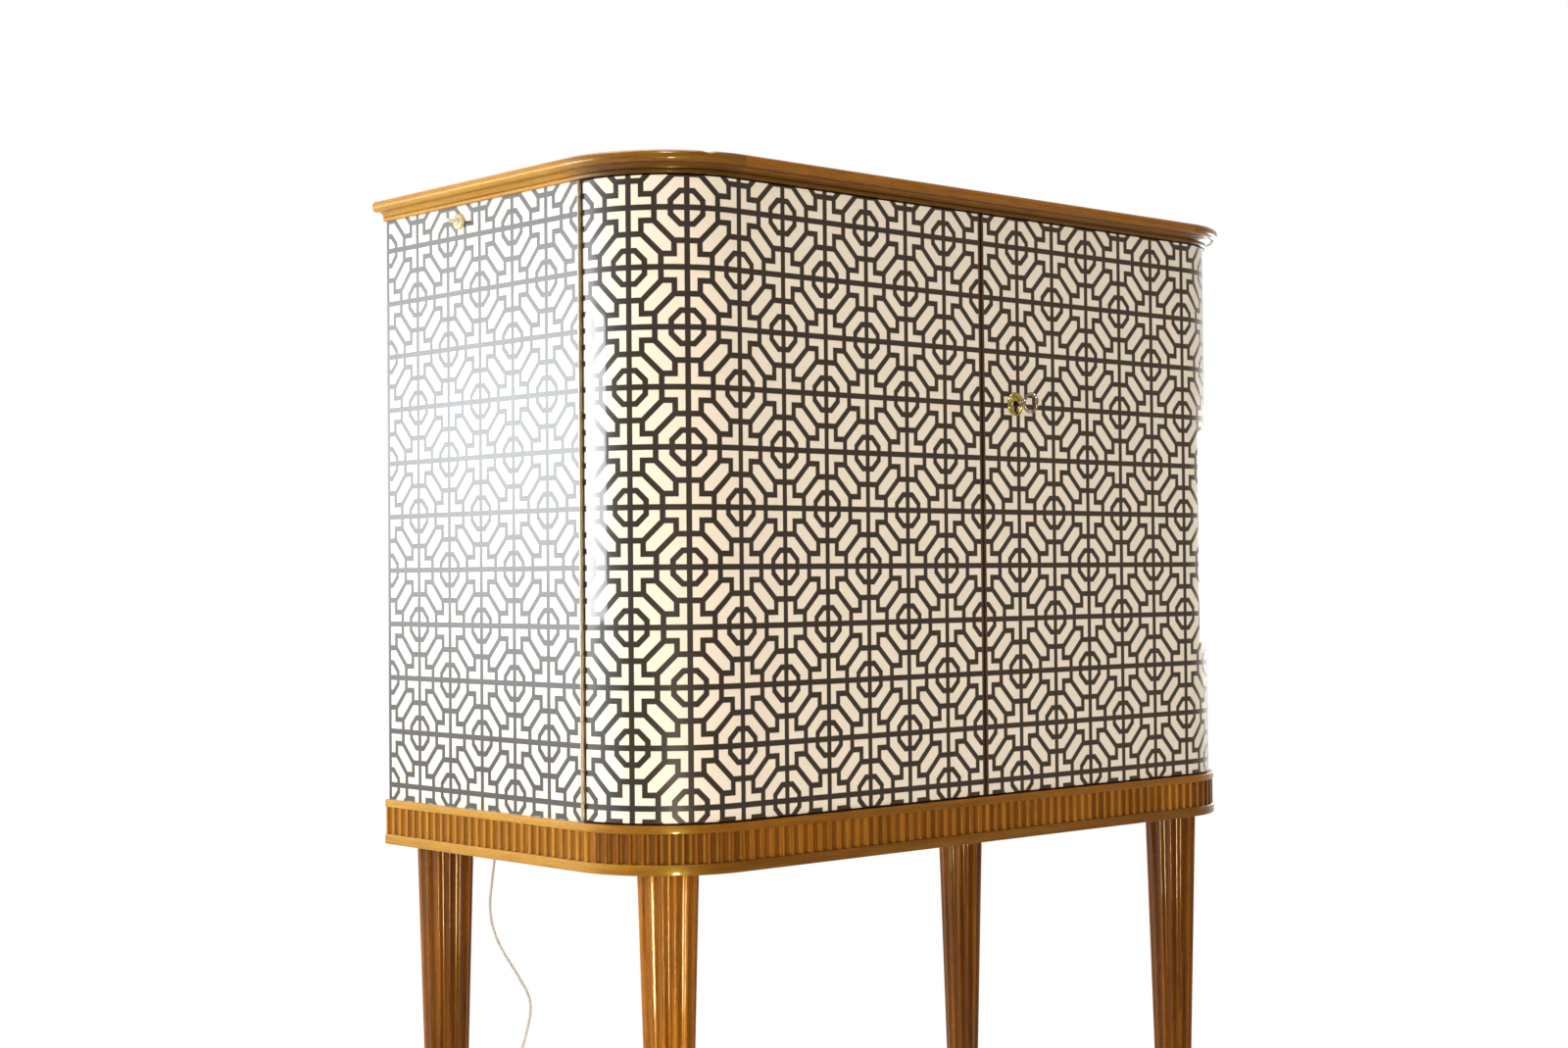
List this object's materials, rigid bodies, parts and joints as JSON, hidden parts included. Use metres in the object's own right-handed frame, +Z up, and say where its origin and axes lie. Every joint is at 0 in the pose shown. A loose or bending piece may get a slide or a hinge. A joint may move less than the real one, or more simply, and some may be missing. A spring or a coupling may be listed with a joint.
{
  "type": "bar cabinet",
  "caption": "Bar cabinet with wrap-round doors in a printed lattice, a fluted frieze, tapered fluted legs, a lock with its key and a switched lamp inside.",
  "frame": {"origin": "on the floor under the middle of the cabinet's outline, key included", "axes": "+Z up, the doors face -Y, +X towards the keyed door's side"},
  "size_m": [0.946, 0.494, 1.1766],
  "materials": {
    "walnut_finish": "polished",
    "leg_wood": "polished",
    "top_veneer": "polished",
    "inside_wood": "satin",
    "lipping_wood": "satin",
    "back_ply": "matte",
    "base_pine": "matte",
    "printed_laminate": "gloss",
    "brass_fittings": "polished",
    "hinge_brass": "aged",
    "nickel": "polished",
    "lock_steel": "satin",
    "mirror_glass": "polished",
    "shelf_glass": "clear",
    "lamp_glass": "opal",
    "lamp_enamel": "gloss",
    "ivory_plastic": "gloss",
    "cord_plastic": "satin"
  },
  "bodies": {
    "cabinet": {"back_panel": "back_ply", "base_corner_blocks": "base_pine", "base_rail_back": "base_pine", "base_rail_front": "base_pine", "base_side_rails": "base_pine", "cord_coil": "cord_plastic", "cord_gland": "cord_plastic", "door_stop": "inside_wood", "floor_board": "inside_wood", "fluted_corners": "walnut_finish", "fluted_strip_front": "walnut_finish", "fluted_strip_left": "walnut_finish", "fluted_strip_right": "walnut_finish", "front_left_leg": "leg_wood", "front_right_leg": "leg_wood", "glass_shelf": "shelf_glass", "hinge_pins": "hinge_brass", "lamp_holder": "lamp_enamel", "lamp_tube": "lamp_glass", "lamp_wiring": "cord_plastic", "left_hinge_side_leaf": "hinge_brass", "left_side": "inside_wood", "left_side_skin": "printed_laminate", "lower_band": "walnut_finish", "middle_shelf": "inside_wood", "mirror": "mirror_glass", "plug": "ivory_plastic", "power_cord": "cord_plastic", "rear_left_leg": "leg_wood", "rear_leg_blocks": "base_pine", "rear_right_leg": "leg_wood", "right_hinge_side_leaf": "hinge_brass", "right_side": "inside_wood", "right_side_skin": "printed_laminate", "shelf_pins": "brass_fittings", "switch_body": "ivory_plastic", "switch_collar": "ivory_plastic", "top_board": "top_veneer", "top_moulding_front": "walnut_finish", "top_moulding_left": "walnut_finish", "top_moulding_left_corner": "walnut_finish", "top_moulding_right": "walnut_finish", "top_moulding_right_corner": "walnut_finish", "upper_band": "walnut_finish"},
    "left_door": {"left_door_core": "inside_wood", "left_door_skin": "printed_laminate", "left_door_lipping": "lipping_wood", "left_hinge_door_leaf": "hinge_brass", "strike_plate": "brass_fittings"},
    "left_top_bolt": {"left_door_top_bolt": "brass_fittings"},
    "left_bottom_bolt": {"left_door_bottom_bolt": "brass_fittings"},
    "right_door": {"right_door_core": "inside_wood", "right_door_skin": "printed_laminate", "right_door_lipping": "lipping_wood", "right_hinge_door_leaf": "hinge_brass", "lock_case": "lock_steel", "escutcheon": "brass_fittings"},
    "lock_bolt": {"lock_bolt": "brass_fittings"},
    "key": {"key": "nickel"},
    "switch_knob": {"switch_knob": "ivory_plastic"}
  },
  "joints": [
    {"name": "left_door_hinge", "type": "hinge", "parent": "cabinet", "child": "left_door", "pos_m": [-0.4572, -0.099, 0.8445], "axis": [0, 0, -1], "range_deg": [0, 165]},
    {"name": "right_door_hinge", "type": "hinge", "parent": "cabinet", "child": "right_door", "pos_m": [0.4572, -0.099, 0.8445], "axis": [0, 0, 1], "range_deg": [0, 165]},
    {"name": "left_top_bolt_slide", "type": "slide", "parent": "left_door", "child": "left_top_bolt", "axis": [0, 0, 1], "range_m": [0, 0.009]},
    {"name": "left_bottom_bolt_slide", "type": "slide", "parent": "left_door", "child": "left_bottom_bolt", "axis": [0, 0, -1], "range_m": [0, 0.009]},
    {"name": "key_turn", "type": "hinge", "parent": "right_door", "child": "key", "pos_m": [0.052, -0.205, 0.9532], "axis": [0, 1, 0], "range_deg": [0, 180]},
    {"name": "lock_bolt_slide", "type": "slide", "parent": "right_door", "child": "lock_bolt", "axis": [-1, 0, 0], "range_m": [0, 0.008]},
    {"name": "switch_turn", "type": "hinge", "parent": "cabinet", "child": "switch_knob", "pos_m": [-0.455, 0.108, 1.1398], "axis": [-1, 0, 0], "range_deg": [0, 90]}
  ],
  "couplings": [
    {"joint": "lock_bolt_slide", "follows": "key_turn", "m_per_rad": 0.0025464}
  ]
}
